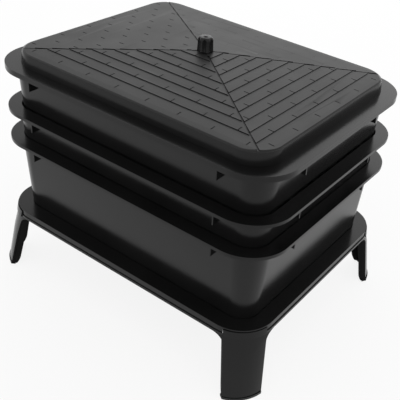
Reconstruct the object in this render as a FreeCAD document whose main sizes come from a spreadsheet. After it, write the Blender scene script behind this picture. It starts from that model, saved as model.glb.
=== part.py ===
import FreeCAD, Part
import math
import os
import Sketcher
from FreeCAD import Vector

# Wormery: a hipped, shingled lid with a fluted knob, three nested working trays and
# a liquid collector base that stands on four curved legs and drains through a tap.
# Millimetres, +Z up, X along the long side, origin on the floor under the middle.

doc = FreeCAD.newDocument("wormery")
sheet = doc.addObject("Spreadsheet::Sheet", "sizes")

SIZES = [
    # flange that the lid and all trays share
    ("flange_length", 600.0), ("flange_width", 460.0), ("flange_corner", 75.0),
    ("lip_height", 6.0), ("lip_wall", 3.0), ("flange_plate", 3.0),
    # working trays
    ("tray_depth", 158.0), ("wall_inset", 23.0), ("wall_corner", 45.0),
    ("draft", 4.05), ("tray_wall", 3.0), ("tray_floor", 3.0),
    ("middle_pitch", 60.0), ("top_pitch", 80.0),
    ("lug_place", 202.0), ("end_lug_place", 116.0), ("lug_wall", 5.0), ("lug_depth", 15.0),
    ("lug_height", 36.0), ("lug_slope", 35.0), ("gusset_reach", 15.0), ("gusset_height", 29.0),
    ("stack_gap", 1.0), ("hole_size", 11.0), ("hole_pitch", 56.0),
    ("hole_rows", 5), ("hole_columns", 8),
    # lid
    ("lid_plate", 4.0), ("lid_end_inset", 29.0), ("lid_side_inset", 24.0), ("lid_corner", 52.0),
    ("lid_draft", 7.0), ("lid_wall", 3.4), ("eave_rise", 26.0), ("peak_rise", 49.0),
    ("eave_round", 3.0), ("course_width", 23.2), ("tile_width", 65.0), ("course_step", 1.2),
    ("long_courses", 7), ("end_courses", 10), ("course_start", 3.2), ("groove_width", 1.8),
    ("joint_share", 0.43), ("joint_margin", 10.0), ("hip_margin", 2.0),
    ("rib_drop", 8.0), ("rib_long", 300.0), ("rib_end", 110.0), ("rib_wall", 2.6),
    # knob and its screw
    ("knob_radius", 14.4), ("knob_top_radius", 13.2), ("knob_height", 27.0),
    ("knob_lobes", 6), ("flute_radius", 4.2), ("knob_seat", 48.0), ("dimple_radius", 2.2),
    ("thread_depth", 22.0), ("boss_level", 38.0), ("screw_radius", 3.0), ("screw_length", 28.0),
    ("screw_head", 6.0), ("head_height", 4.0), ("washer_radius", 9.0), ("washer_height", 1.6),
    # collector base
    ("base_height", 132.5), ("base_length", 590.0), ("base_width", 453.0), ("base_corner", 67.0),
    ("rim_plate", 3.5), ("skirt_height", 16.0), ("skirt_wall", 3.0),
    ("lip_step", 1.6), ("lip_band", 4.6),
    ("seat_depth", 6.0), ("seat_gap", 1.0), ("base_wall", 3.0),
    ("sump_length", 500.0), ("sump_width", 360.0), ("sump_corner", 32.0),
    ("sump_depth", 52.0), ("sump_draft", 8.0), ("gutter_width", 70.0), ("gutter_fall", 5.0),
    ("island_length", 150.0), ("island_width", 90.0), ("island_corner", 14.0),
    ("island_draft", 9.0), ("island_gap", 0.5),
    # legs
    ("leg_wall", 3.5), ("leg_radius", 70.0), ("foot_width", 68.4), ("leg_width", 73.0),
    ("foot_x", 293.8), ("foot_y", 223.7), ("foot_angle", 39.5), ("leg_fillet", 15.0),
    ("sole_height", 5.0), ("sole_depth", 9.0), ("sole_lip", 1.6), ("leg_gap", 0.3),
    ("web_depth", 20.0), ("web_drop", 24.0), ("web_belly", 15.0), ("web_heel", 16.0),
    ("socket_drop", 4.0),
    # tap
    ("outlet_height", 90.0), ("outlet_radius", 10.4), ("shank_radius", 10.0),
    ("shank_bore", 6.5), ("tap_reach", 42.0), ("barrel_radius", 9.5), ("barrel_height", 30.0),
    ("plug_radius", 6.5), ("plug_gap", 0.08), ("spout_length", 24.0), ("spout_radius", 7.0),
    ("barrel_floor", 3.0), ("spout_bore", 5.0), ("plug_bore", 4.4),
    ("lever_span", 34.0), ("lever_bar", 8.0), ("lever_height", 8.0),
    ("nut_width", 28.0), ("nut_height", 8.0),
    ("gasket_height", 2.5), ("gasket_radius", 16.0), ("flange_disc", 4.0),
]
for row, (alias, value) in enumerate(SIZES, start=1):
    sheet.set("A%d" % row, alias)
    sheet.set("B%d" % row, str(value))
    sheet.setAlias("B%d" % row, alias)
doc.recompute()


def size(alias):
    return float(getattr(sheet, alias))


def lean(alias):
    return math.tan(math.radians(size(alias)))


# places that follow from the sizes
seat_level = size("base_height") - size("seat_depth")
bottom_level = seat_level + size("tray_depth")
middle_level = bottom_level + size("middle_pitch")
top_level = middle_level + size("top_pitch")
lid_level = top_level
rim_under = size("base_height") - size("rim_plate")
skirt_foot = size("base_height") - size("skirt_height")
sump_bottom = seat_level - size("sump_depth")


def origin_plane(body, role):
    for item in body.Origin.OriginFeatures:
        if item.Role == role:
            return item
    raise ValueError(role)


def new_sketch(body, name, role, offset="0"):
    sketch = body.newObject("Sketcher::SketchObject", name)
    sketch.AttachmentSupport = (origin_plane(body, role), [""])
    sketch.MapMode = "FlatFace"
    sketch.setExpression("AttachmentOffset.Base.z", offset)
    return sketch


def rounded_rectangle(sketch, length, width, corner, guess):
    """Closed outline, centred on the origin, bound to three expressions."""
    along, across, radius = guess[0] / 2, guess[1] / 2, guess[2]
    first = sketch.GeometryCount
    turns = [(1, 1, 0), (1, -1, 270), (-1, -1, 180), (-1, 1, 90)]
    corners = []
    for side_x, side_y, start in turns:
        centre = Vector(side_x * (along - radius), side_y * (across - radius), 0)
        circle = Part.Circle(centre, Vector(0, 0, 1), radius)
        arc = Part.ArcOfCircle(circle, math.radians(start), math.radians(start + 90))
        corners.append(sketch.addGeometry(arc))
    ends = []
    for index in range(4):
        here = sketch.getPoint(first + index, 1)
        there = sketch.getPoint(first + (index + 1) % 4, 2)
        ends.append(sketch.addGeometry(Part.LineSegment(here, there)))
    rules = []
    for index in range(4):
        rules.append(Sketcher.Constraint("Tangent", corners[index], 1, ends[index], 1))
        rules.append(Sketcher.Constraint("Tangent", ends[index], 2, corners[(index + 1) % 4], 2))
    for index in (0, 2):
        rules.append(Sketcher.Constraint("Vertical", ends[index]))
        rules.append(Sketcher.Constraint("Horizontal", ends[index + 1]))
    for index in range(1, 4):
        rules.append(Sketcher.Constraint("Equal", corners[0], corners[index]))
    rules.append(Sketcher.Constraint("Symmetric", corners[0], 3, corners[2], 3, -1, 1))
    sketch.addConstraint(rules)
    for text, rule in (
        (corner, Sketcher.Constraint("Radius", corners[0], radius)),
        (length, Sketcher.Constraint("DistanceX", ends[2], 1, ends[0], 1, 2 * along)),
        (width, Sketcher.Constraint("DistanceY", ends[1], 1, ends[3], 1, 2 * across)),
    ):
        number = sketch.addConstraint(rule)
        sketch.setExpression("Constraints[%d]" % number, text)


def polygon(sketch, points):
    corners = [Vector(u, v, 0) for u, v in points]
    for index, corner in enumerate(corners):
        sketch.addGeometry(Part.LineSegment(corner, corners[(index + 1) % len(corners)]))


def circle(sketch, centre, radius):
    number = sketch.addGeometry(Part.Circle(Vector(centre[0], centre[1], 0), Vector(0, 0, 1), 1))
    rule = sketch.addConstraint(Sketcher.Constraint("Radius", number, 1))
    sketch.setExpression("Constraints[%d]" % rule, radius)


def feature(body, kind, name, sketch, length, taper=None, down=False, both=False):
    made = body.newObject("PartDesign::" + kind, name)
    made.Profile = sketch
    made.setExpression("Length", length)
    made.Reversed = down
    if both:
        made.SideType = "Symmetric"
    if taper:
        made.setExpression("TaperAngle", taper)
    sketch.Visibility = False
    return made


def mirror(body, name, originals, role):
    made = body.newObject("PartDesign::Mirrored", name)
    made.Originals = originals
    made.MirrorPlane = (origin_plane(body, role), [""])
    body.Tip = made
    return made


def rectangle_guess(length, width, corner, inset=0.0):
    return (size(length) - 2 * inset, size(width) - 2 * inset, size(corner) - inset)


def both_sides(points):
    return [points, [(-u, v) for u, v in points]]


def wall_place(half, depth):
    """Outer face of a tray wall at a depth under the flange top."""
    return half - size("wall_inset") - depth * lean("draft")


def lug_profiles(half):
    """Stacking lug on the inside of a wall, and the gusset that carries the flange outside."""
    wall = size("tray_wall")
    deep = size("lug_height")
    back = wall_place(half, 0) - wall - size("lug_depth")
    face = wall_place(half, deep)
    lug = [
        (wall_place(half, 0) - wall / 2, 0),
        (back, 0),
        (back, (face - wall / 2 - back) * lean("lug_slope") - deep),
        (face - wall / 2, -deep),
    ]
    low = size("gusset_height")
    reach = wall_place(half, 0) + size("gusset_reach")
    gusset = [
        (wall_place(half, 0) - wall / 2, -size("flange_plate") / 2),
        (reach, -size("flange_plate") / 2),
        (reach, -low),
        (wall_place(half, low) - wall / 2, -low),
    ]
    return lug, gusset


def channel_profiles(half, pitch, clear):
    """The upright channel that clears the lugs of the tray below and rests on them."""
    wall = size("tray_wall")
    back = half - size("wall_inset") - size("lug_depth") - wall - clear
    deep = size("tray_depth")
    shell = [
        (wall_place(half, pitch) - wall / 2, wall - pitch),
        (back - wall, wall - pitch),
        (back - wall, -deep),
        (wall_place(half, deep) - wall / 2, -deep),
    ]
    hollow = [
        (wall_place(half, pitch) + 1, -pitch),
        (back, -pitch),
        (back, -deep - 1),
        (wall_place(half, deep) + 1, -deep - 1),
    ]
    return shell, hollow


def wall_pair(body, name, kind, role, mirror_role, place, profiles, width):
    """One feature across both facing walls, mirrored to the other end."""
    sketch = new_sketch(body, name + "_profile", role, place)
    for points in profiles:
        polygon(sketch, points)
    made = feature(body, kind, name, sketch, width, both=True)
    return mirror(body, name + "_mirrored", [made], mirror_role)


def make_tray(name, level, pitch=None, clear="0"):
    """pitch is the drop to the tray below, clear the room round what stands up inside it."""
    body = doc.addObject("PartDesign::Body", name)
    shell = new_sketch(body, name + "_wall_outline", "XY_Plane")
    inset = size("wall_inset")
    rounded_rectangle(shell, "sizes.flange_length - 2 * sizes.wall_inset",
                      "sizes.flange_width - 2 * sizes.wall_inset", "sizes.wall_corner",
                      (size("flange_length") - 2 * inset, size("flange_width") - 2 * inset,
                       size("wall_corner")))
    feature(body, "Pad", name + "_walls", shell, "sizes.tray_depth", "-sizes.draft", down=True)

    rim = new_sketch(body, name + "_flange_outline", "XY_Plane")
    rounded_rectangle(rim, "sizes.flange_length", "sizes.flange_width", "sizes.flange_corner",
                      rectangle_guess("flange_length", "flange_width", "flange_corner"))
    feature(body, "Pad", name + "_flange", rim, "sizes.lip_height", down=True)

    under = new_sketch(body, name + "_lip_inside", "XY_Plane", "-sizes.lip_height")
    rounded_rectangle(under, "sizes.flange_length - 2 * sizes.lip_wall",
                      "sizes.flange_width - 2 * sizes.lip_wall",
                      "sizes.flange_corner - sizes.lip_wall",
                      rectangle_guess("flange_length", "flange_width", "flange_corner",
                                      size("lip_wall")))
    rounded_rectangle(under, "sizes.flange_length - 2 * sizes.wall_inset",
                      "sizes.flange_width - 2 * sizes.wall_inset", "sizes.wall_corner",
                      (size("flange_length") - 2 * inset, size("flange_width") - 2 * inset,
                       size("wall_corner")))
    feature(body, "Pocket", name + "_under_flange", under,
            "sizes.lip_height - sizes.flange_plate", down=True)

    cavity = new_sketch(body, name + "_cavity_outline", "XY_Plane")
    inner = inset + size("tray_wall")
    rounded_rectangle(cavity, "sizes.flange_length - 2 * (sizes.wall_inset + sizes.tray_wall)",
                      "sizes.flange_width - 2 * (sizes.wall_inset + sizes.tray_wall)",
                      "sizes.wall_corner - sizes.tray_wall",
                      (size("flange_length") - 2 * inner, size("flange_width") - 2 * inner,
                       size("wall_corner") - size("tray_wall")))
    feature(body, "Pocket", name + "_cavity", cavity, "sizes.tray_depth - sizes.tray_floor",
            "-sizes.draft")

    half_width = size("flange_width") / 2
    half_length = size("flange_length") / 2
    sides = [
        ("side", "YZ_Plane", "YZ_Plane", "sizes.lug_place", half_width),
        ("end", "XZ_Plane", "XZ_Plane", "sizes.end_lug_place", half_length),
    ]
    for side, role, mirror_role, place, half in sides:
        lug, gusset = lug_profiles(half)
        wall_pair(body, name + "_%s_lug" % side, "Pad", role, mirror_role, place,
                  both_sides(lug), "sizes.lug_wall")
        wall_pair(body, name + "_%s_gusset" % side, "Pad", role, mirror_role, place,
                  both_sides(gusset), "sizes.rib_wall")
        if pitch is None:
            continue
        shell_points, hollow_points = channel_profiles(half, pitch,
                                                       float(body.evalExpression(clear)))
        room = "sizes.lug_wall + sizes.tray_wall + 2 * " + clear
        wall_pair(body, name + "_%s_channel" % side, "Pad", role, mirror_role, place,
                  both_sides(shell_points), room + " + 2 * sizes.tray_wall")
        wall_pair(body, name + "_%s_slot" % side, "Pocket", role, mirror_role, place,
                  both_sides(hollow_points), room)

    # one row of square drain holes, repeated along the tray
    row = new_sketch(body, name + "_hole_row", "XY_Plane", "-sizes.tray_depth")
    reach = size("hole_size") / 2
    first_x = -size("hole_pitch") * (size("hole_columns") - 1) / 2
    for index in range(int(size("hole_rows"))):
        middle = (index - (size("hole_rows") - 1) / 2) * size("hole_pitch")
        polygon(row, [(first_x - reach, middle - reach), (first_x + reach, middle - reach),
                      (first_x + reach, middle + reach), (first_x - reach, middle + reach)])
    hole = feature(body, "Pocket", name + "_holes", row, "sizes.tray_floor", down=True)
    grid = body.newObject("PartDesign::LinearPattern", name + "_hole_grid")
    grid.Originals = [hole]
    grid.Direction = (origin_plane(body, "X_Axis"), [""])
    grid.setExpression("Length", "sizes.hole_pitch * (sizes.hole_columns - 1)")
    grid.setExpression("Occurrences", "sizes.hole_columns")
    body.Tip = grid
    body.Placement = FreeCAD.Placement(Vector(0, 0, level), FreeCAD.Rotation())
    body.Label = name
    return body


def rounded_wire(length, width, corner, level):
    along, across = length / 2 - corner, width / 2 - corner
    edges = []
    previous = None
    first = None
    for side_x, side_y, start in ((1, 1, 0), (-1, 1, 90), (-1, -1, 180), (1, -1, 270)):
        centre = Vector(side_x * along, side_y * across, level)
        arc = Part.makeCircle(corner, centre, Vector(0, 0, 1), start, start + 90)
        begin = arc.valueAt(arc.FirstParameter)
        if previous is not None:
            edges.append(Part.makeLine(previous, begin))
        else:
            first = begin
        edges.append(arc)
        previous = arc.valueAt(arc.LastParameter)
    edges.append(Part.makeLine(previous, first))
    return Part.Wire(edges)


def tapered_block(length, width, corner, low, high, inset):
    """Upright block whose outline shrinks evenly by inset from low to high."""
    lower = rounded_wire(length, width, corner, low)
    upper = rounded_wire(length - 2 * inset, width - 2 * inset, corner - inset, high)
    return Part.makeLoft([lower, upper], True, True)


def prism(points, start, direction):
    """Solid between a closed list of points and its copy moved along direction."""
    face = Part.Face(Part.makePolygon([start + point for point in points] + [start + points[0]]))
    return face.extrude(direction)


def lid_outline(rise):
    """Half sizes and corner radius of the lid wall at a height above the flange bottom."""
    inset = (rise - size("lid_plate")) * lean("lid_draft")
    return (size("flange_length") / 2 - size("lid_end_inset") - inset,
            size("flange_width") / 2 - size("lid_side_inset") - inset, size("lid_corner") - inset)


eave_x, eave_y, eave_corner = lid_outline(size("eave_rise"))


def roof_pyramid(drop):
    """Four roof planes that meet over the middle, lowered by drop."""
    peak = size("peak_rise")
    fall = peak - size("eave_rise")
    deep = peak + 20.0
    reach_x, reach_y = eave_x * deep / fall, eave_y * deep / fall
    base = [Vector(reach_x, reach_y, peak - deep - drop), Vector(-reach_x, reach_y, peak - deep - drop),
            Vector(-reach_x, -reach_y, peak - deep - drop), Vector(reach_x, -reach_y, peak - deep - drop)]
    wire = Part.makePolygon(base + [base[0]])
    return Part.makeLoft([wire, Part.Vertex(Vector(0, 0, peak - drop))], True, True)


def lid_block(inset, low, drop):
    """Wall and roof of the lid, shrunk by inset and lowered by drop."""
    high = size("peak_rise") + 5
    slope = lean("lid_draft")
    half_x, half_y, corner = lid_outline(low)
    block = tapered_block(2 * (half_x - inset), 2 * (half_y - inset), corner - inset,
                          low, high, (high - low) * slope)
    return block.common(roof_pyramid(drop))


def panel_relief(along_x, courses):
    """Sawtooth of one roof side: each course dips under the butt of the next one up."""
    run = eave_x if along_x else eave_y
    other = eave_y if along_x else eave_x
    peak = size("peak_rise")
    slope = (peak - size("eave_rise")) / run
    step, width = size("course_step"), size("course_width")
    edge = size("course_start") + (courses + 1) * width
    lines = [edge - index * width for index in range(courses + 2)]

    def at(distance, drop):
        height = peak - slope * distance - drop
        return Vector(distance, 0, height) if along_x else Vector(0, distance, height)

    points = [at(lines[0], 0)]
    for upper in lines[1:]:
        points.append(at(upper, step))
        points.append(at(upper, 0))
    points[-1] = at(lines[-1], -step)
    points.append(at(lines[0], -step))
    side = Vector(0, 1, 0) if along_x else Vector(1, 0, 0)
    cut = prism(points, side * -other, side * (2 * other))
    ratio = other / run
    for index, butt in enumerate(lines[:-1]):
        shift = 0.5 if index % 2 == 0 else 0.0
        room = butt * ratio - size("joint_margin")
        short = butt - size("joint_share") * width
        outline = [at(butt - 0.01, step), at(short, step), at(short, -step), at(butt - 0.01, -step)]
        count = int(room / size("tile_width")) + 1
        for number in range(-count - 1, count + 1):
            place = (number + shift) * size("tile_width")
            if abs(place) < room:
                half = size("groove_width") / 2
                cut = cut.fuse(prism(outline, side * (place - half), side * (2 * half)))
    far = run * 1.5
    tip = size("hip_margin")
    corners = [(tip, 0), (far, (far - tip) * ratio), (far, -(far - tip) * ratio)]
    sector = prism([Vector(u, v, 0) if along_x else Vector(v, u, 0) for u, v in corners],
                   Vector(0, 0, 0), Vector(0, 0, peak * 2))
    return cut.common(sector)


def softened(block):
    """The lid block with its eave turned over by two slopes."""
    high = size("peak_rise") + 1
    soft = size("eave_round")
    room = size("flange_length")
    upper_share = 0.4
    shift = 0.0
    for share, turn in ((1.0, 27.0), (upper_share, 60.0)):
        # each slope starts on the one before, and the first on the wall
        rise = size("eave_rise") - share * soft
        half_x, half_y, corner = lid_outline(rise)
        climb = math.tan(math.radians(turn))
        inset = min((high - rise) * climb, corner - shift - 1.0)
        cap = tapered_block(2 * (half_x - shift), 2 * (half_y - shift), corner - shift,
                            rise, rise + inset / climb, inset)
        below = Part.makeBox(room, room, rise + 1, Vector(-room / 2, -room / 2, -1))
        block = block.common(cap.fuse(below))
        shift += (share - upper_share) * soft * climb
    return block


def placed(item, level):
    item.Placement = FreeCAD.Placement(Vector(0, 0, level), FreeCAD.Rotation())
    return item


def make_lid():
    wall = size("lid_wall")
    outer = softened(lid_block(0, 0, 0))
    plate = Part.Face(rounded_wire(size("flange_length"), size("flange_width"),
                                   size("flange_corner"), 0))
    lid = outer.fuse(plate.extrude(Vector(0, 0, size("lid_plate"))))
    lid = lid.cut(lid_block(wall, -1, wall))
    boss = Part.makeCylinder(size("washer_radius") + 4, size("knob_seat") - size("boss_level"),
                             Vector(0, 0, size("boss_level")))
    lid = lid.fuse(boss.common(outer))
    # two pairs of ribs hang from the lid and centre it in the tray mouth
    fit = size("wall_inset") + size("tray_wall") + size("stack_gap") + 0.2 + size("rib_wall")
    place_y = size("flange_width") / 2 - fit
    place_x = size("flange_length") / 2 - fit
    drop = size("rib_drop")
    ribs = [
        Part.makeBox(size("rib_long"), size("rib_wall"), drop + 3 * size("lid_plate"),
                     Vector(-size("rib_long") / 2, place_y, -drop)),
        Part.makeBox(size("rib_wall"), size("rib_end"), drop + size("lid_plate") / 2,
                     Vector(place_x, -size("rib_end") / 2, -drop)),
    ]
    for rib, normal in zip(ribs, (Vector(0, 1, 0), Vector(1, 0, 0))):
        lid = lid.fuse([rib, rib.mirror(Vector(0, 0, 0), normal)])
    for along_x, courses in ((False, "long_courses"), (True, "end_courses")):
        relief = panel_relief(along_x, int(size(courses)))
        normal = Vector(1, 0, 0) if along_x else Vector(0, 1, 0)
        lid = lid.cut([relief, relief.mirror(Vector(0, 0, 0), normal)])
    seat = Part.makeCylinder(size("knob_radius") + 1.5, 10, Vector(0, 0, size("knob_seat")))
    bore = Part.makeCylinder(size("screw_radius") + 0.3, size("peak_rise"))
    item = doc.addObject("Part::Feature", "lid")
    item.Shape = lid.cut([seat, bore]).removeSplitter()
    item.Label = "lid"
    return placed(item, lid_level)


def make_knob():
    body = doc.addObject("PartDesign::Body", "lid_knob")
    outline = new_sketch(body, "knob_outline", "XY_Plane")
    circle(outline, (0, 0), "sizes.knob_radius")
    feature(body, "Pad", "knob_column", outline, "sizes.knob_height",
            "-atan((sizes.knob_radius - sizes.knob_top_radius) / sizes.knob_height)")
    flute = new_sketch(body, "flute_outline", "XY_Plane")
    circle(flute, (size("knob_radius") + size("flute_radius") / 2.2, 0), "sizes.flute_radius")
    cut = feature(body, "Pocket", "knob_flute", flute, "2 * sizes.knob_height", both=True)
    turns = body.newObject("PartDesign::PolarPattern", "knob_flutes")
    turns.Originals = [cut]
    turns.Axis = (origin_plane(body, "Z_Axis"), [""])
    turns.Angle = 360
    turns.setExpression("Occurrences", "sizes.knob_lobes")
    body.Tip = turns
    dimple = new_sketch(body, "dimple_outline", "XY_Plane", "sizes.knob_height")
    circle(dimple, (0, 0), "sizes.dimple_radius")
    feature(body, "Pocket", "knob_dimple", dimple, "sizes.dimple_radius")
    thread = new_sketch(body, "thread_outline", "XY_Plane")
    circle(thread, (0, 0), "sizes.screw_radius + 0.05")
    feature(body, "Pocket", "knob_thread", thread, "sizes.thread_depth", down=True)
    body.Label = "lid_knob"
    return placed(body, lid_level + size("knob_seat"))


def cylinder(name, radius, height, place, along_x=False):
    made = doc.addObject("Part::Cylinder", name)
    made.setExpression("Radius", radius)
    made.setExpression("Height", height)
    turn = FreeCAD.Rotation(Vector(0, 1, 0), 90) if along_x else FreeCAD.Rotation()
    made.Placement = FreeCAD.Placement(place, turn)
    return made


def joined(name, pieces):
    made = doc.addObject("Part::MultiFuse", name)
    made.Shapes = pieces
    return made


def cut_from(name, base, tools):
    tool = tools[0] if len(tools) == 1 else joined(name + "_voids", tools)
    made = doc.addObject("Part::Cut", name)
    made.Base = base
    made.Tool = tool
    made.Label = name
    return made


def make_screw():
    """Screw and washer that clamp the knob from inside the lid."""
    under = lid_level + size("boss_level") - size("washer_height")
    head = cylinder("screw_head", "sizes.screw_head", "sizes.head_height",
                    Vector(0, 0, under - size("head_height")))
    shank = cylinder("screw_shank", "sizes.screw_radius", "sizes.screw_length", Vector(0, 0, under))
    socket = cylinder("screw_socket", "0.45 * sizes.screw_head", "0.5 * sizes.head_height",
                      Vector(0, 0, under - size("head_height")))
    cut_from("knob_screw", joined("screw_solid", [head, shank]), [socket])
    disc = cylinder("washer_disc", "sizes.washer_radius", "sizes.washer_height",
                    Vector(0, 0, under))
    hole = cylinder("washer_hole", "sizes.screw_radius + 0.3", "sizes.washer_height",
                    Vector(0, 0, under))
    cut_from("knob_washer", disc, [hole])


SIDES = {"front_right": (1, -1), "front_left": (-1, -1), "rear_right": (1, 1), "rear_left": (-1, 1)}


def rim_corner(side_x, side_y):
    """Centre of the rim's rounded corner."""
    inset = size("base_corner")
    return Vector(side_x * (size("base_length") / 2 - inset),
                  side_y * (size("base_width") / 2 - inset), 0)


def corner_patch(side_x, side_y, near, far, first, last):
    """Four points on a rim corner, measured out along its diagonal and across it."""
    out = Vector(side_x, side_y, 0).normalize()
    across = Vector(-side_y, side_x, 0).normalize()
    spots = []
    for reach, swing in ((near, first), (far, first), (far, last), (near, last)):
        spot = rim_corner(side_x, side_y) + out * reach + across * swing
        spots.append((spot.x, spot.y))
    return spots


def make_base():
    body = doc.addObject("PartDesign::Body", "collector_base")
    base_guess = rectangle_guess("base_length", "base_width", "base_corner")
    rim = new_sketch(body, "rim_outline", "XY_Plane", "sizes.base_height")
    rounded_rectangle(rim, "sizes.base_length", "sizes.base_width", "sizes.base_corner", base_guess)
    feature(body, "Pad", "rim", rim, "sizes.skirt_height", down=True)

    step = size("lip_step")
    band = new_sketch(body, "band_outline", "XY_Plane", "sizes.base_height - sizes.skirt_height")
    rounded_rectangle(band, "sizes.base_length + 2 * sizes.lip_step",
                      "sizes.base_width + 2 * sizes.lip_step", "sizes.base_corner + sizes.lip_step",
                      (base_guess[0] + 2 * step, base_guess[1] + 2 * step, base_guess[2] + step))
    feature(body, "Pad", "skirt_band", band, "sizes.lip_band")

    # the seat that the bottom tray stands in, sized from the foot of that tray
    taper = size("wall_inset") + size("tray_depth") * lean("draft") - size("seat_gap")
    foot = "(sizes.wall_inset + sizes.tray_depth * tan(sizes.draft) - sizes.seat_gap)"
    seat_size = ("sizes.flange_length - 2 * " + foot, "sizes.flange_width - 2 * " + foot,
                 "sizes.wall_corner - sizes.tray_depth * tan(sizes.draft) + sizes.seat_gap")
    wall = size("base_wall")
    seat_guess = (size("flange_length") - 2 * taper, size("flange_width") - 2 * taper,
                  size("wall_corner") - taper + size("wall_inset"))
    shelf_size = tuple(text + " + %s * sizes.base_wall" % count
                       for text, count in zip(seat_size, ("2", "2", "1")))
    shelf_guess = (seat_guess[0] + 2 * wall, seat_guess[1] + 2 * wall, seat_guess[2] + wall)
    under = new_sketch(body, "skirt_inside", "XY_Plane", "sizes.base_height - sizes.skirt_height")
    skirt = size("skirt_wall")
    rounded_rectangle(under, "sizes.base_length - 2 * sizes.skirt_wall",
                      "sizes.base_width - 2 * sizes.skirt_wall",
                      "sizes.base_corner - sizes.skirt_wall",
                      (base_guess[0] - 2 * skirt, base_guess[1] - 2 * skirt, base_guess[2] - skirt))
    feature(body, "Pocket", "under_rim", under, "sizes.skirt_height - sizes.rim_plate", down=True)

    shelf = new_sketch(body, "shelf_outline", "XY_Plane", "sizes.base_height")
    rounded_rectangle(shelf, *shelf_size, shelf_guess)
    feature(body, "Pad", "shelf", shelf, "sizes.seat_depth + sizes.base_wall", down=True)

    sump = new_sketch(body, "sump_outline", "XY_Plane", "sizes.base_height - sizes.seat_depth")
    rounded_rectangle(sump, "sizes.sump_length + 2 * sizes.base_wall",
                      "sizes.sump_width + 2 * sizes.base_wall",
                      "sizes.sump_corner + sizes.base_wall",
                      (size("sump_length") + 2 * wall, size("sump_width") + 2 * wall,
                       size("sump_corner") + wall))
    feature(body, "Pad", "sump", sump, "sizes.sump_depth + sizes.base_wall",
            "-sizes.sump_draft", down=True)

    # outlet pad, flat on both faces of the sloping end wall
    pad = new_sketch(body, "outlet_pad_outline", "YZ_Plane", "%.4f" % outlet_outer)
    circle(pad, (0, size("outlet_height")), "sizes.gasket_radius + 1.5")
    feature(body, "Pad", "outlet_pad", pad, "%.4f" % (outlet_inner - outlet_outer))

    gutter_start, gutter_end = sump_foot_x + 2.5 * wall, -size("island_length") / 2 - 10
    fall = size("gutter_fall")
    trough = new_sketch(body, "gutter_outside", "XZ_Plane")
    polygon(trough, [(gutter_start - wall, sump_bottom), (gutter_start - wall, sump_bottom - fall - wall),
                     (gutter_end, sump_bottom - wall - 0.5), (gutter_end, sump_bottom)])
    feature(body, "Pad", "gutter", trough, "sizes.gutter_width + 2 * sizes.base_wall", both=True)

    seat = new_sketch(body, "seat_outline", "XY_Plane", "sizes.base_height")
    rounded_rectangle(seat, *seat_size, seat_guess)
    feature(body, "Pocket", "seat", seat, "sizes.seat_depth")

    cavity = new_sketch(body, "cavity_outline", "XY_Plane", "sizes.base_height - sizes.seat_depth")
    rounded_rectangle(cavity, "sizes.sump_length", "sizes.sump_width", "sizes.sump_corner",
                      rectangle_guess("sump_length", "sump_width", "sump_corner"))
    feature(body, "Pocket", "sump_cavity", cavity, "sizes.sump_depth", "-sizes.sump_draft")

    channel = new_sketch(body, "gutter_inside", "XZ_Plane")
    polygon(channel, [(gutter_start, sump_bottom + 2), (gutter_start, sump_bottom - fall),
                      (gutter_end - 2, sump_bottom), (gutter_end - 2, sump_bottom + 2)])
    feature(body, "Pocket", "gutter_channel", channel, "sizes.gutter_width", both=True)

    inside = new_sketch(body, "outlet_pad_inside", "YZ_Plane", "%.4f" % outlet_wall)
    circle(inside, (0, size("outlet_height")), "sizes.gasket_radius + 1.5")
    feature(body, "Pad", "outlet_pad_inner", inside, "%.4f" % (outlet_inner - outlet_wall))
    bore = new_sketch(body, "outlet_bore_outline", "YZ_Plane", "%.4f" % outlet_inner)
    circle(bore, (0, size("outlet_height")), "sizes.outlet_radius")
    feature(body, "Pocket", "outlet_bore", bore, "%.4f" % (2 * (outlet_inner - outlet_outer)),
            both=True)

    # raised island in the middle, hollow from below, that worms climb to get back up
    island_guess = (size("island_length"), size("island_width"), size("island_corner"))
    rise = "sizes.sump_depth - sizes.island_gap"
    island = new_sketch(body, "island_outline", "XY_Plane", "%.4f" % sump_bottom)
    rounded_rectangle(island, "sizes.island_length", "sizes.island_width", "sizes.island_corner",
                      island_guess)
    feature(body, "Pad", "island", island, rise, "-sizes.island_draft")
    hollow = new_sketch(body, "island_inside", "XY_Plane", "%.4f" % (sump_bottom - wall))
    rounded_rectangle(hollow, "sizes.island_length - 2 * sizes.base_wall",
                      "sizes.island_width - 2 * sizes.base_wall",
                      "sizes.island_corner - 0.5 * sizes.base_wall",
                      (island_guess[0] - 2 * wall, island_guess[1] - 2 * wall,
                       island_guess[2] - wall / 2))
    feature(body, "Pocket", "island_hollow", hollow, rise, "-sizes.island_draft", down=True)

    # the skirt is open at the corners, where the legs come up to the rim plate
    gap = new_sketch(body, "leg_openings", "XY_Plane", "sizes.base_height - sizes.rim_plate")
    room = size("leg_width") / 2 + size("leg_gap")
    near = math.sqrt((size("base_corner") - skirt) ** 2 - room ** 2) - skirt
    for side_x, side_y in SIDES.values():
        polygon(gap, corner_patch(side_x, side_y, near, size("base_corner") + 2 * skirt, -room, room))
    feature(body, "Pocket", "leg_opening", gap, "sizes.skirt_height - sizes.rim_plate + 1")

    # two plates at each corner grip the web of the leg
    grip = new_sketch(body, "leg_sockets", "XY_Plane", "sizes.base_height - 0.5 * sizes.rim_plate")
    inner = size("base_corner") - size("leg_wall")
    low = size("leg_wall") / 2 + size("leg_gap")
    for side_x, side_y in SIDES.values():
        for side in (1, -1):
            polygon(grip, corner_patch(side_x, side_y, inner - size("web_depth") + 1,
                                       inner - 2, low * side, (low + wall) * side))
    feature(body, "Pad", "leg_socket", grip, "sizes.skirt_height + sizes.socket_drop", down=True)
    body.Label = "collector_base"
    return body


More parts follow.
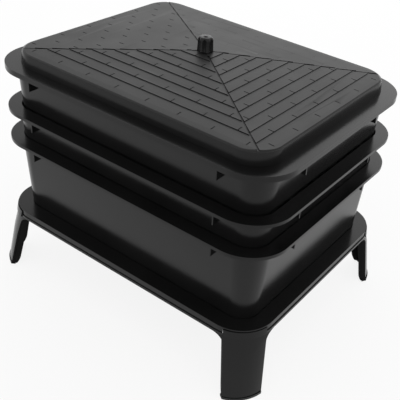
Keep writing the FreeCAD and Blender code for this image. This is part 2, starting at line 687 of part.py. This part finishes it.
def tube(start, axis, inner, outer, length):
    """Round tube along an axis; the legs are cut from it."""
    shell = Part.makeCylinder(outer, length, start, axis)
    return shell.cut(Part.makeCylinder(inner, length, start, axis))


def turned_out(shape):
    """Moves a shape drawn along +X to the diagonal of the front right rim corner."""
    shape.rotate(Vector(0, 0, 0), Vector(0, 0, 1), -45)
    shape.translate(rim_corner(1, -1))
    return shape


def leg_outline():
    """Front outline of a leg as a block, with a fillet each side under the skirt."""
    foot, top, fillet = size("foot_width") / 2, size("leg_width") / 2, size("leg_fillet")
    low = skirt_foot - fillet
    edges = []
    for side in (1, -1):
        corner = [Vector(0, side * foot, 0), Vector(0, side * top, low),
                  Vector(0, side * (top + fillet), skirt_foot), Vector(0, side * top, skirt_foot),
                  Vector(0, side * top, rim_under)]
        middle = Vector(0, side * (top + fillet - fillet * math.cos(math.radians(45))),
                        low + fillet * math.sin(math.radians(45)))
        edges.append(Part.makeLine(corner[0], corner[1]))
        edges.append(Part.Arc(corner[1], middle, corner[2]).toShape())
        edges.append(Part.makeLine(corner[2], corner[3]))
        edges.append(Part.makeLine(corner[3], corner[4]))
    edges.append(Part.makeLine(Vector(0, foot, 0), Vector(0, -foot, 0)))
    edges.append(Part.makeLine(Vector(0, top, rim_under), Vector(0, -top, rim_under)))
    wire = Part.Wire(Part.__sortEdges__(edges))
    return turned_out(Part.Face(wire).extrude(Vector(2 * size("base_corner"), 0, 0)))


def leg_shape():
    """Leg at +X and -Y: a leaning curved panel cut to its outline, with a sole and a web."""
    radius, wall = size("leg_radius"), size("leg_wall")
    corner = rim_corner(1, -1)
    top_centre = corner - Vector(1, -1, 0).normalize() * (radius - size("base_corner"))
    foot_line = math.radians(-size("foot_angle"))
    foot_centre = Vector(size("foot_x"), -size("foot_y"), 0)
    foot_centre -= Vector(math.cos(foot_line), math.sin(foot_line), 0) * radius
    splay = foot_centre - top_centre
    up = (Vector(0, 0, rim_under) - splay).normalize()
    panel = tube(foot_centre - up * radius / 2, up, radius - wall, radius, rim_under + radius)
    sole = tube(foot_centre, Vector(0, 0, 1), radius - size("sole_depth"),
                radius + size("sole_lip"), size("sole_height"))
    leg = panel.fuse(sole).common(leg_outline())
    # below the skirt the leg follows the rim's lower lip, and splays out from there
    slope = splay.dot(Vector(1, -1, 0).normalize()) / rim_under
    lip = size("base_corner") + size("lip_step")
    spread = Part.makeCone(lip + 1.3 * slope * skirt_foot, lip, skirt_foot, corner)
    high = Part.makeCylinder(lip + wall, rim_under - skirt_foot,
                             Vector(corner.x, corner.y, skirt_foot))
    leg = leg.common(spread.fuse(high))
    # stiffening web behind the panel, which plugs between the socket plates
    reach, belly = size("base_corner") - wall, size("web_belly")
    inner = reach - size("web_depth")
    knee = Vector(inner, 0, rim_under - size("web_drop"))
    waist = knee + Vector(0.8 * belly, 0, -belly)
    heel_level = waist.z - size("web_heel")
    heel = Vector(reach + wall / 3 + slope * (rim_under - heel_level), 0, heel_level)
    bulge = (knee + waist) * 0.5 + Vector(-0.16, 0, -0.13) * belly
    hollow = (waist + heel) * 0.5 + Vector(0.13, 0, 0.16) * belly
    head = Vector(reach + wall / 3, 0, rim_under)
    start = Vector(inner, 0, rim_under)
    loop = Part.Wire([Part.makeLine(head, start), Part.makeLine(start, knee),
                      Part.Arc(knee, bulge, waist).toShape(), Part.Arc(waist, hollow, heel).toShape(),
                      Part.makeLine(heel, head)])
    web = Part.Face(loop).extrude(Vector(0, wall, 0))
    web.translate(Vector(0, -wall / 2, 0))
    return leg.fuse(turned_out(web)).removeSplitter()


def make_legs():
    shape = leg_shape()
    for name, (side_x, side_y) in SIDES.items():
        item = doc.addObject("Part::Feature", "leg_" + name)
        leg = shape.copy()
        if side_x < 0:
            leg = leg.mirror(Vector(0, 0, 0), Vector(1, 0, 0))
        if side_y > 0:
            leg = leg.mirror(Vector(0, 0, 0), Vector(0, 1, 0))
        item.Shape = leg
        item.Label = "leg_" + name


def make_tap():
    """Quarter-turn tap whose threaded shank is clamped through the sump wall."""
    level = size("outlet_height")
    gasket = size("gasket_height")
    disc_start = outlet_outer - gasket - size("flange_disc")
    axis_x = disc_start - size("tap_reach")
    bottom = level - size("barrel_height") / 2
    end = outlet_inner + gasket + size("nut_height") + 4.0
    solids = [
        cylinder("tap_shank", "sizes.shank_radius", "%.4f" % (end - disc_start),
                 Vector(disc_start, 0, level), True),
        cylinder("tap_disc", "sizes.gasket_radius", "sizes.flange_disc",
                 Vector(disc_start, 0, level), True),
        cylinder("tap_neck", "0.85 * sizes.shank_radius", "sizes.tap_reach",
                 Vector(axis_x, 0, level), True),
        cylinder("tap_barrel", "sizes.barrel_radius", "sizes.barrel_height",
                 Vector(axis_x, 0, bottom)),
        cylinder("tap_spout", "sizes.spout_radius", "sizes.spout_length",
                 Vector(axis_x, 0, bottom - size("spout_length"))),
    ]
    voids = [
        cylinder("shank_bore", "sizes.shank_bore", "%.4f" % (end - axis_x),
                 Vector(axis_x, 0, level), True),
        cylinder("barrel_bore", "sizes.plug_radius + sizes.plug_gap",
                 "sizes.barrel_height - sizes.barrel_floor",
                 Vector(axis_x, 0, bottom + size("barrel_floor"))),
        cylinder("spout_bore", "sizes.spout_bore", "sizes.spout_length + sizes.barrel_floor",
                 Vector(axis_x, 0, bottom - size("spout_length"))),
    ]
    cut_from("tap_body", joined("tap_solid", solids), voids)

    top = level + size("barrel_height") / 2
    plug_foot = bottom + size("barrel_floor") + 0.3
    lever = doc.addObject("Part::Feature", "lever_bar")
    span, bar = size("lever_span"), size("lever_bar")
    blade = Part.Face(rounded_wire(bar, span, 0.45 * bar, top + 0.4)).extrude(
        Vector(0, 0, size("lever_height")))
    blade.translate(Vector(axis_x, 0, 0))
    lever.Shape = blade
    plug = cylinder("plug_column", "sizes.plug_radius", "%.4f" % (top + 1.0 - plug_foot),
                    Vector(axis_x, 0, plug_foot))
    cap = cylinder("plug_cap", "0.9 * sizes.barrel_radius", "sizes.lever_height",
                   Vector(axis_x, 0, top + 0.4))
    well = cylinder("plug_well", "sizes.plug_bore", "%.4f" % (level - plug_foot),
                    Vector(axis_x, 0, plug_foot))
    port = cylinder("plug_port", "sizes.plug_bore", "2 * sizes.plug_radius",
                    Vector(axis_x, 0, level))
    port.Placement = FreeCAD.Placement(Vector(axis_x, 0, level),
                                       FreeCAD.Rotation(Vector(1, 0, 0), -90))
    cut_from("tap_handle", joined("handle_solid", [plug, cap, lever]), [well, port])

    for name, start in (("tap_washer_outer", outlet_outer - gasket), ("tap_washer_inner", outlet_inner)):
        ring = cylinder(name + "_disc", "sizes.gasket_radius - 1", "sizes.gasket_height",
                        Vector(start, 0, level), True)
        hole = cylinder(name + "_hole", "sizes.shank_radius + 0.1", "sizes.gasket_height",
                        Vector(start, 0, level), True)
        cut_from(name, ring, [hole])

    nut = doc.addObject("Part::Prism", "nut_hexagon")
    nut.Polygon = 6
    nut.setExpression("Circumradius", "0.5 * sizes.nut_width / cos(30)")
    nut.setExpression("Height", "sizes.nut_height")
    turn = FreeCAD.Rotation(Vector(0, 1, 0), 90).multiply(FreeCAD.Rotation(Vector(0, 0, 1), 30))
    nut.Placement = FreeCAD.Placement(Vector(outlet_inner + gasket, 0, level), turn)
    hole = cylinder("nut_hole", "sizes.shank_radius + 0.05", "sizes.nut_height",
                    Vector(outlet_inner + gasket, 0, level), True)
    cut_from("tap_nut", nut, [hole])


# where the tap passes through the sloping end wall of the sump
sump_foot_x = -size("sump_length") / 2 + size("sump_depth") * lean("sump_draft")
outlet_wall = -size("sump_length") / 2 + (seat_level - size("outlet_height")) * lean("sump_draft")
outlet_spread = (size("gasket_radius") + 1.5) * lean("sump_draft")
outlet_outer = outlet_wall - size("base_wall") - outlet_spread - 0.3
outlet_inner = outlet_wall + outlet_spread + 0.3

make_base()
make_legs()
make_tap()
make_tray("working_tray_bottom", bottom_level)
make_tray("working_tray_middle", middle_level, size("middle_pitch"), "sizes.stack_gap")
# the top tray goes round the channels of the middle tray as well as its blocks
make_tray("working_tray_top", top_level, size("top_pitch"),
          "(2 * sizes.stack_gap + sizes.tray_wall)")
make_lid()
make_knob()
make_screw()
doc.recompute()

NODES = ["collector_base", "leg_front_right", "leg_front_left", "leg_rear_right", "leg_rear_left",
         "tap_body", "tap_handle", "tap_nut", "tap_washer_outer", "tap_washer_inner",
         "working_tray_bottom", "working_tray_middle", "working_tray_top",
         "lid", "lid_knob", "knob_screw", "knob_washer"]
for item in doc.Objects:
    if "Invalid" in item.State or "Error" in item.State:
        raise RuntimeError("%s failed: %s" % (item.Name, item.State))
shapes = {}
for name in NODES:
    shape = doc.getObject(name).Shape
    if shape.isNull() or not shape.isValid() or not shape.Solids:
        raise RuntimeError("%s has no valid solid" % name)
    shapes[name] = shape

os.makedirs("parts", exist_ok=True)
for name, shape in shapes.items():
    shape.exportStep("parts/%s.step" % name)
    box = shape.BoundBox
    print("%-22s %d solid %9.1f cm3  x %.1f %.1f  y %.1f %.1f  z %.1f %.1f"
          % (name, len(shape.Solids), shape.Volume / 1000, box.XMin, box.XMax, box.YMin, box.YMax,
             box.ZMin, box.ZMax))
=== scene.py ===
import bpy
import bmesh
import math
from mathutils import Matrix, Vector


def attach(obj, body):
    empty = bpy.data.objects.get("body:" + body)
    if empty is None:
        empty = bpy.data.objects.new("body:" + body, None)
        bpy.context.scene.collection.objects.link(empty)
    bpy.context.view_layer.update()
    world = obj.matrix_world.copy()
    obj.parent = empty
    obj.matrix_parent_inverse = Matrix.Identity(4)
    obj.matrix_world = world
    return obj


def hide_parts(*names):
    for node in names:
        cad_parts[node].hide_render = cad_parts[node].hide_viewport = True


# Wormery in black moulded polypropylene. Metres, +Z up, the tap is at the -X end.

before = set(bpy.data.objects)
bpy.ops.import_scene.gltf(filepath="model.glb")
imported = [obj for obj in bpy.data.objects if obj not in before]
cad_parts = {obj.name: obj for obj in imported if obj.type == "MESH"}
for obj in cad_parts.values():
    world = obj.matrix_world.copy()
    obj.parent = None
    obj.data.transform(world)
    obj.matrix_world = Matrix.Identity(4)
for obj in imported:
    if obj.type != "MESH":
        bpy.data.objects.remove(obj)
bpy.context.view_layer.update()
print("frame loaded")

millimetre = 0.001


def linearColour(hexText):
    # sRGB hex to linear RGBA
    parts = [int(hexText[i:i + 2], 16) / 255 for i in (1, 3, 5)]
    return [c / 12.92 if c <= 0.04045 else ((c + 0.055) / 1.055) ** 2.4 for c in parts] + [1.0]


def addNode(owner, kind, inputs=None, **settings):
    # adds one shader node; inputs take plain values or (node, output) pairs
    node = owner.node_tree.nodes.new(kind)
    for name, value in settings.items():
        setattr(node, name, value)
    for name, value in (inputs or {}).items():
        if isinstance(value, tuple) and hasattr(value[0], "outputs"):
            owner.node_tree.links.new(value[0].outputs[value[1]], node.inputs[name])
        else:
            node.inputs[name].default_value = value
    return node


patternLook = {"flowFrom": 0.3, "flowTo": 0.7, "darkAt": 0.35, "lightAt": 0.65,
               "flowDetail": 3.0, "flowRough": 0.5, "grainDetail": 2.0, "grainRough": 0.6}


def surface(name, look):
    # one shader for every hard surface: two tints over a slow flow pattern, and a fine grain
    material = bpy.data.materials.new(name)
    material.use_nodes = True
    material.node_tree.nodes.clear()
    place = addNode(material, "ShaderNodeTexCoord")
    flow = addNode(material, "ShaderNodeTexNoise", {
        "Vector": (place, "Object"), "Scale": 1000 / look["flowMm"],
        "Detail": patternLook["flowDetail"], "Roughness": patternLook["flowRough"]})
    grain = addNode(material, "ShaderNodeTexNoise", {
        "Vector": (place, "Object"), "Scale": 1000 / look["grainMm"],
        "Detail": patternLook["grainDetail"], "Roughness": patternLook["grainRough"]})
    gloss = addNode(material, "ShaderNodeMapRange", {
        "Value": (flow, "Fac"), "From Min": patternLook["flowFrom"], "From Max": patternLook["flowTo"],
        "To Min": look["roughness"] - look["roughnessSpread"],
        "To Max": look["roughness"] + look["roughnessSpread"]})
    tint = addNode(material, "ShaderNodeValToRGB", {"Fac": (flow, "Fac")})
    tint.color_ramp.elements[0].color = linearColour(look["dark"])
    tint.color_ramp.elements[0].position = patternLook["darkAt"]
    tint.color_ramp.elements[1].color = linearColour(look["light"])
    tint.color_ramp.elements[1].position = patternLook["lightAt"]
    bump = addNode(material, "ShaderNodeBump", {
        "Height": (grain, "Fac"), "Strength": look["bump"],
        "Distance": look["grainDeepMm"] * millimetre})
    shader = addNode(material, "ShaderNodeBsdfPrincipled", {
        "Base Color": (tint, "Color"), "Roughness": (gloss, "Result"), "Normal": (bump, "Normal"),
        "IOR": look["ior"], "Metallic": look["metal"], "Specular IOR Level": look["specular"]})
    addNode(material, "ShaderNodeOutputMaterial", {"Surface": (shader, "BSDF")})
    return material


# polypropylene from a polished mould: near black, even, with soft reflections
shellPlastic = surface("polypropylene, satin moulded", {
    "dark": "#101010", "light": "#141414", "roughness": 0.2, "roughnessSpread": 0.02, "flowMm": 90,
    "grainMm": 1.6, "grainDeepMm": 0.03, "bump": 0.1, "ior": 1.49, "metal": 0.0, "specular": 0.25})
# the same plastic from a spark-eroded mould: an even fine grain on the roof panels
roofPlastic = surface("polypropylene, grained mould", {
    "dark": "#141414", "light": "#181818", "roughness": 0.5, "roughnessSpread": 0.03, "flowMm": 70,
    "grainMm": 1.2, "grainDeepMm": 0.08, "bump": 0.3, "ior": 1.49, "metal": 0.0, "specular": 0.5})
# the same plastic against the core of the mould, where nothing was polished: matt, and also darker and
# duller than the shell as painted shade on the inward faces of the legs and their side strips
coreAndShadePlastic = surface("polypropylene, matt core side, painted shade", {
    "dark": "#0c0c0c", "light": "#101010", "roughness": 0.75, "roughnessSpread": 0.04, "flowMm": 40,
    "grainMm": 1.0, "grainDeepMm": 0.05, "bump": 0.3, "ior": 1.49, "metal": 0.0, "specular": 0.15})
# nitrile rubber: matt, slightly warmer black
sealRubber = surface("nitrile rubber, matt", {
    "dark": "#121110", "light": "#171614", "roughness": 0.75, "roughnessSpread": 0.05, "flowMm": 12,
    "grainMm": 0.6, "grainDeepMm": 0.03, "bump": 0.2, "ior": 1.5, "metal": 0.0, "specular": 0.5})
# zinc-plated steel: pale, faintly mottled by the bath
zincSteel = surface("steel, zinc plated", {
    "dark": "#b9b9b4", "light": "#cfcfca", "roughness": 0.32, "roughnessSpread": 0.06, "flowMm": 5,
    "grainMm": 0.4, "grainDeepMm": 0.01, "bump": 0.1, "ior": 1.5, "metal": 1.0, "specular": 0.5})


meshLook = {"weldMm": 0.02, "flatDegrees": 0.6, "sharpDegrees": 60, "evenWeight": 100}


def copiedMesh(node, name):
    # a copy of a CAD node's mesh with the flats joined up again
    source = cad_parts[node]
    mesh = source.data.copy()
    mesh.name = name
    mesh.transform(source.matrix_world)
    work = bmesh.new()
    work.from_mesh(mesh)
    bmesh.ops.remove_doubles(work, verts=work.verts, dist=meshLook["weldMm"] * millimetre)
    bmesh.ops.dissolve_limit(work, angle_limit=math.radians(meshLook["flatDegrees"]),
                             verts=work.verts, edges=work.edges)
    work.to_mesh(mesh)
    work.free()
    mesh.materials.clear()
    piece = bpy.data.objects.new(name, mesh)
    bpy.context.scene.collection.objects.link(piece)
    return piece


def baked(piece):
    # the piece with its modifiers worked into its mesh
    shape = bmesh.new()
    shape.from_object(piece, bpy.context.evaluated_depsgraph_get())
    piece.modifiers.clear()
    shape.to_mesh(piece.data)
    shape.free()


def rounded(piece, look):
    # rounds every edge over, and keeps the flats flat under smooth shading
    bevel = piece.modifiers.new("edges", "BEVEL")
    bevel.width = look["roundMm"] * millimetre
    bevel.segments = look["steps"]
    bevel.limit_method = "ANGLE"
    bevel.angle_limit = math.radians(look["angle"])
    baked(piece)
    for face in piece.data.polygons:
        face.use_smooth = True
    piece.data.set_sharp_from_angle(angle=math.radians(meshLook["sharpDegrees"]))
    even = piece.modifiers.new("even shading", "WEIGHTED_NORMAL")
    even.weight = meshLook["evenWeight"]
    even.keep_sharp = True
    return piece


def dressed(node, name, body, look):
    # a rounded copy that stands in for its CAD node
    piece = copiedMesh(node, name)
    piece.data.materials.append(look["material"])
    rounded(piece, look)
    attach(piece, body)
    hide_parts(node)
    return piece


# working trays
trayLook = {"roundMm": 0.8, "steps": 3, "angle": 32, "material": shellPlastic}
for level in ("top", "middle", "bottom"):
    dressed("working_tray_" + level, level + "Tray", "tray_" + level, trayLook)
print("trays ready")

# base and legs
baseLook = {"roundMm": 0.8, "steps": 3, "angle": 32, "material": shellPlastic}
dressed("collector_base", "sumpBase", "base", baseLook)
# legs, in millimetres in the plane of the front right one, from its rim corner along the diagonal
legLook = {"roundMm": 0.9, "steps": 3, "angle": 32, "material": shellPlastic, "innerShadeShare": 0.2,
           "corner": (228.0, -159.5), "footCentre": (239.79, -179.17), "topCentre": (225.88, -157.38),
           "rimUnder": 129.0, "radius": 70.0, "wall": 3.5, "soleHigh": 5.3, "soleRadius": 64.5,
           "footHalf": 34.2, "topHalf": 36.5, "filletFoot": 101.5}
# the side strips take the darker core plastic, which is painted shade
returnLook = {"roundMm": 0.7, "steps": 2, "angle": 32, "material": coreAndShadePlastic, "thick": 2.6,
              "bottom": 0.6, "top": 110.0, "levels": 23, "deepFoot": 4.5, "deep": 10.5, "deepFrom": 16.0,
              "overlap": 0.9}


def sidesOf(node):
    # which way a leg's corner lies along X, and towards the front along -Y
    return (1 if "right" in node else -1), (1 if "front" in node else -1)


def slimSole(piece, look, sides):
    # the sole keeps close to the curved panel above it
    for vertex in piece.data.vertices:
        centre = Vector((look["footCentre"][0] * sides[0], look["footCentre"][1] * sides[1], 0))
        offset = vertex.co / millimetre - centre
        level, offset.z = offset.z, 0
        if level < look["soleHigh"] and offset.length < look["soleRadius"]:
            place = centre + offset.normalized() * look["soleRadius"]
            vertex.co.x, vertex.co.y = place.x * millimetre, place.y * millimetre


def sideReturns(name, look, leg, sides):
    # two strips that turn in from the side edges of a leg's curved panel
    outward, sideways = Vector((0.5, -0.5, 0)) * math.sqrt(2), Vector((0.5, 0.5, 0)) * math.sqrt(2)
    mesh = bpy.data.meshes.new(name)
    work = bmesh.new()
    for side in (-1, 1):
        rings = []
        for step in range(look["levels"] + 1):
            high = look["bottom"] + (look["top"] - look["bottom"]) * step / look["levels"]
            share = high / leg["rimUnder"]
            centre = Vector((*leg["footCentre"], 0)).lerp(Vector((*leg["topCentre"], 0)), share)
            centre -= Vector((*leg["corner"], 0))
            half = leg["footHalf"] + (leg["topHalf"] - leg["footHalf"]) * min(high / leg["filletFoot"], 1)
            widening = min(high / look["deepFrom"], 1) ** 0.5
            deep = look["deepFoot"] + (look["deep"] - look["deepFoot"]) * widening
            ring = []
            for across, inward in ((half, -look["overlap"]), (half, deep),
                                   (half - look["thick"], deep), (half - look["thick"], -look["overlap"])):
                along = side * across - centre.dot(sideways)
                reach = math.sqrt((leg["radius"] - leg["wall"]) ** 2 - along ** 2) - inward
                place = (Vector((*leg["corner"], 0)) + outward * (centre.dot(outward) + reach)
                         + sideways * side * across)
                ring.append(work.verts.new((
                    place.x * sides[0] * millimetre, place.y * sides[1] * millimetre, high * millimetre)))
            rings.append(ring)
        for low, up in zip(rings, rings[1:]):
            for index in range(4):
                work.faces.new((low[index], low[index - 1], up[index - 1], up[index]))
        work.faces.new(rings[0])
        work.faces.new(rings[-1][::-1])
    bmesh.ops.recalc_face_normals(work, faces=work.faces)
    work.to_mesh(mesh)
    work.free()
    piece = bpy.data.objects.new(name, mesh)
    bpy.context.scene.collection.objects.link(piece)
    piece.data.materials.append(look["material"])
    rounded(piece, look)
    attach(piece, "base")


for node, name in (("leg_front_right", "frontRightLeg"), ("leg_front_left", "frontLeftLeg"),
                   ("leg_rear_right", "rearRightLeg"), ("leg_rear_left", "rearLeftLeg")):
    sides = sidesOf(node)
    leg = copiedMesh(node, name)
    leg.data.materials.append(legLook["material"])
    leg.data.materials.append(coreAndShadePlastic)
    slimSole(leg, legLook, sides)
    rounded(leg, legLook)
    outward = Vector((sides[0], -sides[1], 0)).normalized()
    # faces turned inwards take the darker core plastic, which is painted shade
    for face in leg.data.polygons:
        face.material_index = 1 if face.normal.dot(outward) < legLook["innerShadeShare"] else 0
    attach(leg, "base")
    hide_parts(node)
    sideReturns(name + "Returns", returnLook, legLook, sides)
print("base and legs ready")

# tap
tapLook = {"roundMm": 0.5, "steps": 3, "angle": 32, "material": shellPlastic}
dressed("tap_body", "tapBody", "base", tapLook)
dressed("tap_nut", "tapNut", "base", tapLook)
dressed("tap_handle", "tapLever", "tap_lever", tapLook)
sealLook = {"roundMm": 0.4, "steps": 3, "angle": 32, "material": sealRubber}
dressed("tap_washer_outer", "outerSeal", "base", sealLook)
dressed("tap_washer_inner", "innerSeal", "base", sealLook)
print("tap ready")

# lid with a groove along each hip, and the grained panels
lidLook = {"roundMm": 0.35, "steps": 2, "angle": 25, "material": shellPlastic, "eaveZ": 0.4505,
           "peakZ": 0.4735, "eaveX": 0.2683, "eaveY": 0.2033, "grooveMm": 3.4, "grooveDeepMm": 2.3,
           "grooveFrom": 0.07, "grooveTo": 0.93, "flatness": 0.97,
           "eaveSlackMm": 2.0, "jointArea": 40.0, "jointFlatness": 0.9, "rearJointDeep": 0.12,
           "jointSideMm": 0.1, "jointRiseMm": (0.2, 2.5), "cutterRiseMm": 4}


def shallowRearJoints(piece, look):
    # the short joints of the rear panel are shallow, so that they hardly show
    lowest, highest = look["jointRiseMm"]
    work = bmesh.new()
    work.from_mesh(piece.data)
    raised = 0
    for face in work.faces:
        middle = face.calc_center_median()
        onRear = middle.y / look["eaveY"] > abs(middle.x) / look["eaveX"]
        onRoof = middle.z > look["eaveZ"] - look["eaveSlackMm"] * millimetre
        level = face.normal.z > look["jointFlatness"]
        if onRear and onRoof and level and face.calc_area() < look["jointArea"] * millimetre ** 2:
            for corner in face.verts:
                above = [edge.other_vert(corner) for edge in corner.link_edges
                         if (edge.other_vert(corner).co - corner.co).to_2d().length
                         < look["jointSideMm"] * millimetre
                         and lowest < (edge.other_vert(corner).co.z - corner.co.z) / millimetre < highest]
                if above:
                    corner.co.z = above[0].co.z - look["rearJointDeep"] * millimetre
                    raised += 1
    work.to_mesh(piece.data)
    work.free()
    print("rear joints raised:", raised)


def hipGrooves(look):
    # four upright slabs that cut a groove along each hip of the roof
    mesh = bpy.data.meshes.new("hipCutters")
    work = bmesh.new()
    for sideX in (-1, 1):
        for sideY in (-1, 1):
            ends = []
            for share in (look["grooveFrom"], look["grooveTo"]):
                level = look["peakZ"] - (look["peakZ"] - look["eaveZ"]) * share
                ends.append(Vector((sideX * look["eaveX"] * share, sideY * look["eaveY"] * share, level)))
            along = (ends[1] - ends[0]).normalized()
            across = along.cross(Vector((0, 0, 1))).normalized() * look["grooveMm"] * millimetre / 2
            rise = Vector((0, 0, look["cutterRiseMm"] * millimetre))
            drop = Vector((0, 0, -look["grooveDeepMm"] * millimetre))
            corners = [work.verts.new(end + side + lift) for end in ends
                       for side in (-across, across) for lift in (drop, rise)]
            bmesh.ops.convex_hull(work, input=corners)
    work.to_mesh(mesh)
    work.free()
    cutter = bpy.data.objects.new("hipCutters", mesh)
    bpy.context.scene.collection.objects.link(cutter)
    return cutter


roofLid = copiedMesh("lid", "roofLid")
roofLid.data.materials.append(shellPlastic)
roofLid.data.materials.append(roofPlastic)
shallowRearJoints(roofLid, lidLook)
cutter = hipGrooves(lidLook)
cut = roofLid.modifiers.new("hips", "BOOLEAN")
cut.operation = "DIFFERENCE"
cut.solver = "EXACT"
cut.object = cutter
baked(roofLid)
bpy.data.objects.remove(cutter)
rounded(roofLid, lidLook)
roofFrom = lidLook["eaveZ"] - lidLook["eaveSlackMm"] * millimetre
for face in roofLid.data.polygons:
    if face.normal.z > lidLook["flatness"] and face.center.z > roofFrom:
        face.material_index = 1
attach(roofLid, "cover")
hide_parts("lid")
print("lid ready")

# knob and its fixing: (radius, height over the seat, depth of the flutes) in millimetres
knobLook = {"seatZ": 0.4725, "flutes": 6, "around": 144, "sharpness": 1.6, "material": shellPlastic,
            "outside": ((1.4, 27.0, 0), (2.5, 26.8, 0), (3.1, 26.2, 0), (3.5, 25.7, 0), (6.5, 25.8, 0),
                        (9.2, 25.6, 0.1), (11.0, 25.1, 0.6), (12.2, 24.2, 1.5), (13.0, 22.8, 2.3),
                        (13.4, 20.8, 2.7), (14.2, 1.0, 2.8), (14.4, 0.4, 2.8), (14.3, 0.05, 2.8)),
            "inside": ((3.2, 0.05, 0), (3.0, 0.3, 0), (3.0, 21.9, 0))}
knobMesh = bpy.data.meshes.new("flutedKnob")
work = bmesh.new()
rings = []
for radius, high, deep in knobLook["outside"] + knobLook["inside"]:
    ring = []
    for index in range(knobLook["around"]):
        angle = 2 * math.pi * index / knobLook["around"]
        flute = (0.5 + 0.5 * math.cos(knobLook["flutes"] * angle)) ** knobLook["sharpness"]
        reach = (radius - deep * flute) * millimetre
        ring.append(work.verts.new((reach * math.cos(angle), reach * math.sin(angle),
                                    knobLook["seatZ"] + high * millimetre)))
    rings.append(ring)
for low, up in zip(rings, rings[1:]):
    for index in range(knobLook["around"]):
        work.faces.new((low[index - 1], up[index - 1], up[index], low[index]))
work.faces.new(rings[0])
work.faces.new(rings[-1])
bmesh.ops.recalc_face_normals(work, faces=work.faces)
for face in work.faces:
    face.smooth = True
work.to_mesh(knobMesh)
work.free()
knobMesh.materials.append(knobLook["material"])
knobMesh.set_sharp_from_angle(angle=math.radians(meshLook["sharpDegrees"]))
flutedKnob = bpy.data.objects.new("flutedKnob", knobMesh)
bpy.context.scene.collection.objects.link(flutedKnob)
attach(flutedKnob, "cover")
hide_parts("lid_knob")
screwLook = {"roundMm": 0.2, "steps": 2, "angle": 32, "material": zincSteel}
dressed("knob_screw", "knobScrew", "cover", screwLook)
dressed("knob_washer", "knobWasher", "cover", screwLook)
print("knob ready")


# floor and world: one white background, the same for the camera, for gloss and for glass
floorLook = {"half": 5.0, "drop": -0.0005, "colour": "#fbfbfb", "lift": 0.86, "white": 1.0}
half = floorLook["half"]
floorMesh = bpy.data.meshes.new("studioFloor")
floorMesh.from_pydata([(x, y, floorLook["drop"]) for x, y in
                       ((-half, -half), (half, -half), (half, half), (-half, half))], [], [(0, 1, 2, 3)])
floor = bpy.data.objects.new("studioFloor", floorMesh)
bpy.context.scene.collection.objects.link(floor)


def seenRays(owner):
    # 1 for camera rays and for those that come by way of gloss or glass
    rays = addNode(owner, "ShaderNodeLightPath")
    mirrored = addNode(owner, "ShaderNodeMath", {
        0: (rays, "Is Glossy Ray"), 1: (rays, "Is Transmission Ray")}, operation="MAXIMUM")
    return addNode(owner, "ShaderNodeMath", {
        0: (rays, "Is Camera Ray"), 1: (mirrored, "Value")}, operation="MAXIMUM")


# white paper: mostly lit up to white by itself, and the rest takes the product's shadow
paper = bpy.data.materials.new("white studio paper")
paper.use_nodes = True
paper.node_tree.nodes.clear()
lift = addNode(paper, "ShaderNodeMath", {
    0: (seenRays(paper), "Value"), 1: floorLook["lift"]}, operation="MULTIPLY")
matte = addNode(paper, "ShaderNodeBsdfDiffuse", {"Color": linearColour(floorLook["colour"])})
white = addNode(paper, "ShaderNodeEmission", {
    "Color": (1.0, 1.0, 1.0, 1.0), "Strength": floorLook["white"]})
sheet = addNode(paper, "ShaderNodeMixShader", {
    0: (lift, "Value"), 1: (matte, "BSDF"), 2: (white, "Emission")})
addNode(paper, "ShaderNodeOutputMaterial", {"Surface": (sheet, "Shader")})
floorMesh.materials.append(paper)
print("floor ready")

worldLook = {"fill": 0.9, "white": 1.0}
world = bpy.data.worlds.new("studio")
bpy.context.scene.world = world
world.use_nodes = True
world.node_tree.nodes.clear()
level = addNode(world, "ShaderNodeMapRange", {
    "Value": (seenRays(world), "Value"), "To Min": worldLook["fill"], "To Max": worldLook["white"]})
sky = addNode(world, "ShaderNodeBackground", {
    "Color": (1.0, 1.0, 1.0, 1.0), "Strength": (level, "Result")})
addNode(world, "ShaderNodeOutputWorld", {"Surface": (sky, "Background")})


def softBox(name, look):
    # an area lamp turned towards a point
    lamp = bpy.data.lights.new(name, "AREA")
    lamp.shape = "RECTANGLE"
    lamp.size, lamp.size_y = look["size"]
    lamp.energy = look["power"]
    holder = bpy.data.objects.new(name, lamp)
    holder.location = look["place"]
    aim = Vector(look["aim"]) - Vector(look["place"])
    holder.rotation_euler = aim.to_track_quat("-Z", "Y").to_euler()
    bpy.context.scene.collection.objects.link(holder)


softBox("rearSoftBox", {
    "size": (2.4, 1.6), "power": 8, "place": (-1.15, 2.3, 1.7), "aim": (0, 0, 0.3)})
print("light ready")

# camera, from a fit to the outlines of the flanges, the rim and the feet
cameraLook = {"place": (0.7122, -0.9390, 0.9596), "turn": 31.888, "drop": 30.936, "roll": 6.284,
                  "focalPixels": 718.3, "middle": (255.2, 162.5), "framePixels": 400, "sensorMm": 36.0}
frameSide = cameraLook["framePixels"]
turn, drop, roll = (math.radians(cameraLook[key]) for key in ("turn", "drop", "roll"))
forward = Vector((-math.cos(drop) * math.sin(turn), math.cos(drop) * math.cos(turn), -math.sin(drop)))
levelSide = forward.cross(Vector((0, 0, 1))).normalized()
levelUp = levelSide.cross(forward)
right = math.cos(roll) * levelSide + math.sin(roll) * levelUp
up = -math.sin(roll) * levelSide + math.cos(roll) * levelUp
lens = bpy.data.cameras.new("productCamera")
lens.sensor_width = cameraLook["sensorMm"]
lens.lens = cameraLook["focalPixels"] * cameraLook["sensorMm"] / frameSide
lens.shift_x = (frameSide / 2 - cameraLook["middle"][0]) / frameSide
lens.shift_y = (cameraLook["middle"][1] - frameSide / 2) / frameSide
camera = bpy.data.objects.new("productCamera", lens)
camera.matrix_world = Matrix((
    (right.x, up.x, -forward.x, cameraLook["place"][0]),
    (right.y, up.y, -forward.y, cameraLook["place"][1]),
    (right.z, up.z, -forward.z, cameraLook["place"][2]),
    (0, 0, 0, 1)))
bpy.context.scene.collection.objects.link(camera)
bpy.context.scene.camera = camera
bpy.context.scene.view_settings.view_transform = "Standard"
print("camera ready")

print("scene ready")
